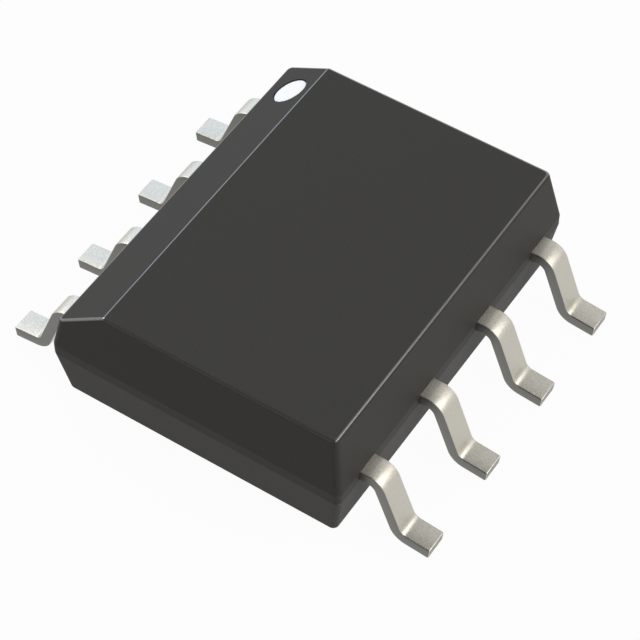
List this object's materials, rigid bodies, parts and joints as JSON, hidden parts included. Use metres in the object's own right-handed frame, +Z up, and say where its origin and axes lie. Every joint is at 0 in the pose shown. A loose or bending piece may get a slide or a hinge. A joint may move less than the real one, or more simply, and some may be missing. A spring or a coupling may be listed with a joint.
{
  "type": "synchronous rectifier controller",
  "caption": "Surface-mount controller chip in a small-outline moulded package, with gull-wing leads along both sides, a bevelled lead 1 edge and a white lead 1 spot",
  "frame": {"origin": "on the board, under the middle of the body", "axes": "+X across the body from the row of leads 1 to 4 to the row of leads 5 to 8, +Y along the rows towards leads 1 and 8, +Z up from the board"},
  "size_m": [0.0058, 0.005, 0.0018],
  "materials": {
    "mould_epoxy": "fine even grain, black",
    "tin_plate": "matte tin plate with a fine grain",
    "white_ink": "smooth white ink",
    "lead_frame_copper": "satin copper alloy",
    "silver_glue": "dull, filled with silver flakes",
    "silicon": "polished, dark grey",
    "gold_wire": "bright drawn gold"
  },
  "bodies": {
    "root": {"mould_body": "mould_epoxy", "pin_1_spot": "white_ink", "die_pad": "lead_frame_copper", "die_attach": "silver_glue", "die": "silicon", "lead_1": "tin_plate", "lead_2": "tin_plate", "lead_3": "tin_plate", "lead_4": "tin_plate", "lead_5": "tin_plate", "lead_6": "tin_plate", "lead_7": "tin_plate", "lead_8": "tin_plate", "bond_wire_1": "gold_wire", "bond_wire_2": "gold_wire", "bond_wire_3": "gold_wire", "bond_wire_4": "gold_wire", "bond_wire_5": "gold_wire", "bond_wire_6": "gold_wire", "bond_wire_7": "gold_wire", "bond_wire_8": "gold_wire"}
  },
  "joints": []
}
